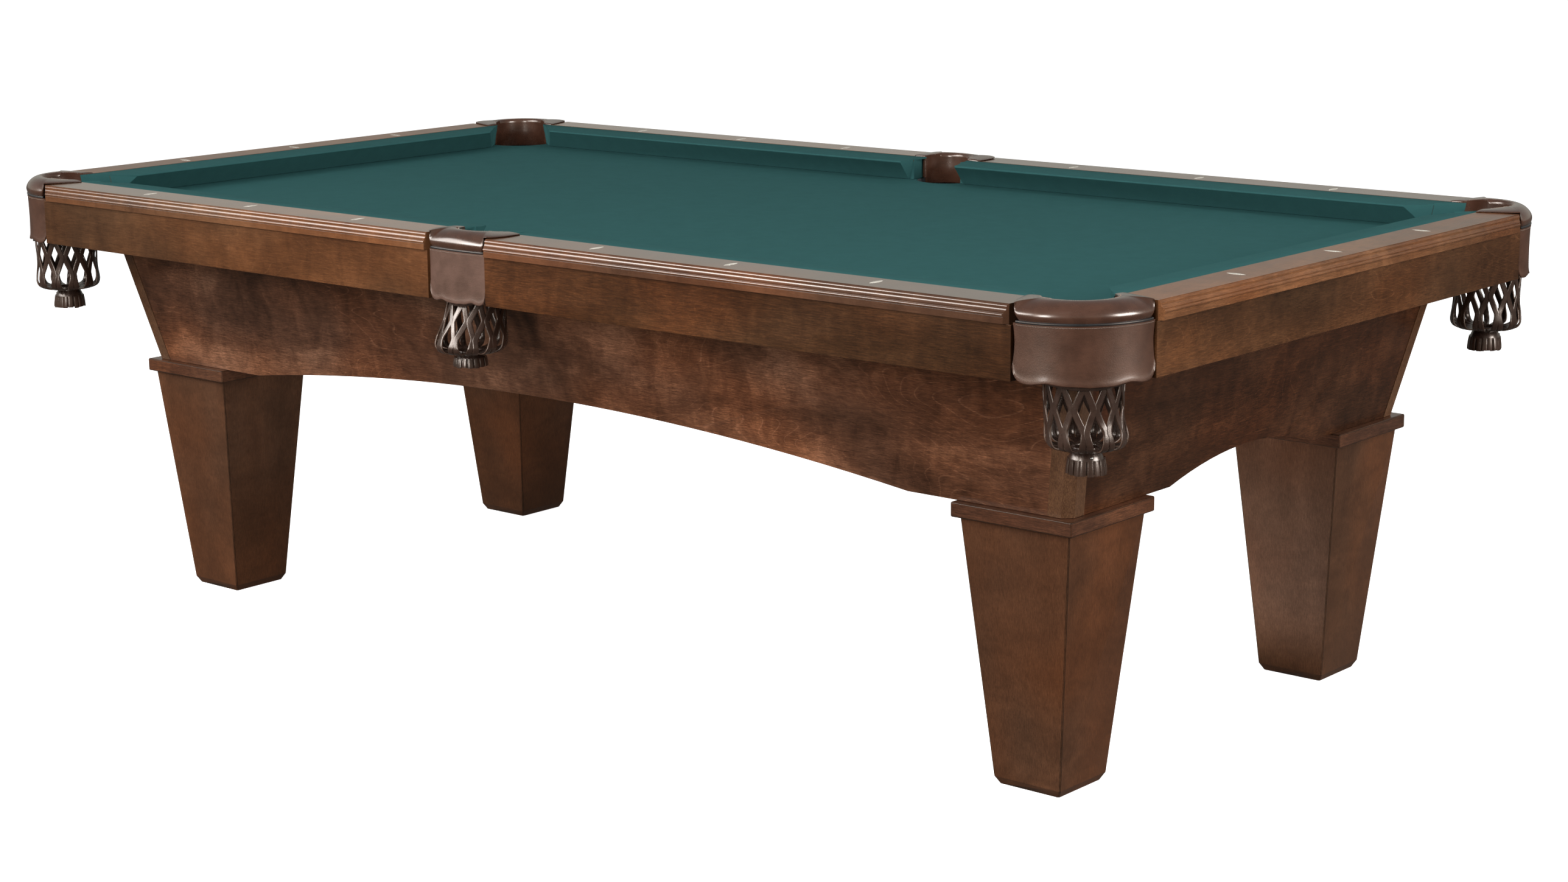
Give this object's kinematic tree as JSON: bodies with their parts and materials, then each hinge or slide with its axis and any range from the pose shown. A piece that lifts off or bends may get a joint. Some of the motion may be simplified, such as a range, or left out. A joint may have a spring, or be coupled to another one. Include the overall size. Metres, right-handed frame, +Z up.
{
  "type": "pool table",
  "caption": "Rectangular drop-pocket pool table: square tapered legs, arched tapering cabinet, leather pockets with open strap baskets at the corners and mid sides, cloth bed and cushions",
  "frame": {"origin": "on the floor under the middle of the table", "axes": "+X along the table towards its head end, +Y across it towards its right side, +Z up"},
  "size_m": [2.514, 1.416, 0.81],
  "materials": {
    "walnut": "dark brown stain, satin to semi-gloss lacquer",
    "timber": "bare sawn softwood",
    "slate": "honed",
    "cloth": "teal green worsted, stretched",
    "leather": "dark brown, glossy",
    "pearl": "pale inlay, polished flush with the rail",
    "steel": "plain fasteners"
  },
  "bodies": {
    "root": {"apron_foot": "walnut", "apron_head": "walnut", "apron_left_foot": "walnut", "apron_left_head": "walnut", "apron_right_foot": "walnut", "apron_right_head": "walnut", "bed_cloth": "cloth", "corner_post_foot_left": "walnut", "corner_post_foot_right": "walnut", "corner_post_head_left": "walnut", "corner_post_head_right": "walnut", "cross_beam_foot": "timber", "cross_beam_head": "timber", "cushion_foot": "cloth", "cushion_head": "cloth", "cushion_left_foot": "cloth", "cushion_left_head": "cloth", "cushion_right_foot": "cloth", "cushion_right_head": "cloth", "end_panel_foot": "walnut", "end_panel_head": "walnut", "leg_cap_foot_left": "walnut", "leg_cap_foot_right": "walnut", "leg_cap_head_left": "walnut", "leg_cap_head_right": "walnut", "leg_foot_left": "walnut", "leg_foot_right": "walnut", "leg_head_left": "walnut", "leg_head_right": "walnut", "long_beam_left": "timber", "long_beam_right": "timber", "pocket_basket_foot_left": "leather", "pocket_basket_foot_right": "leather", "pocket_basket_head_left": "leather", "pocket_basket_head_right": "leather", "pocket_basket_left": "leather", "pocket_basket_right": "leather", "pocket_collar_foot_left": "leather", "pocket_collar_foot_right": "leather", "pocket_collar_head_left": "leather", "pocket_collar_head_right": "leather", "pocket_collar_left": "leather", "pocket_collar_right": "leather", "pocket_shield_foot_left": "leather", "pocket_shield_foot_right": "leather", "pocket_shield_head_left": "leather", "pocket_shield_head_right": "leather", "pocket_shield_left": "leather", "pocket_shield_right": "leather", "rail_foot": "walnut", "rail_head": "walnut", "rail_left_foot": "walnut", "rail_left_head": "walnut", "rail_right_foot": "walnut", "rail_right_head": "walnut", "side_panel_left": "walnut", "side_panel_right": "walnut", "slate_foot": "slate", "slate_head": "slate", "slate_middle": "slate"}
  },
  "joints": []
}
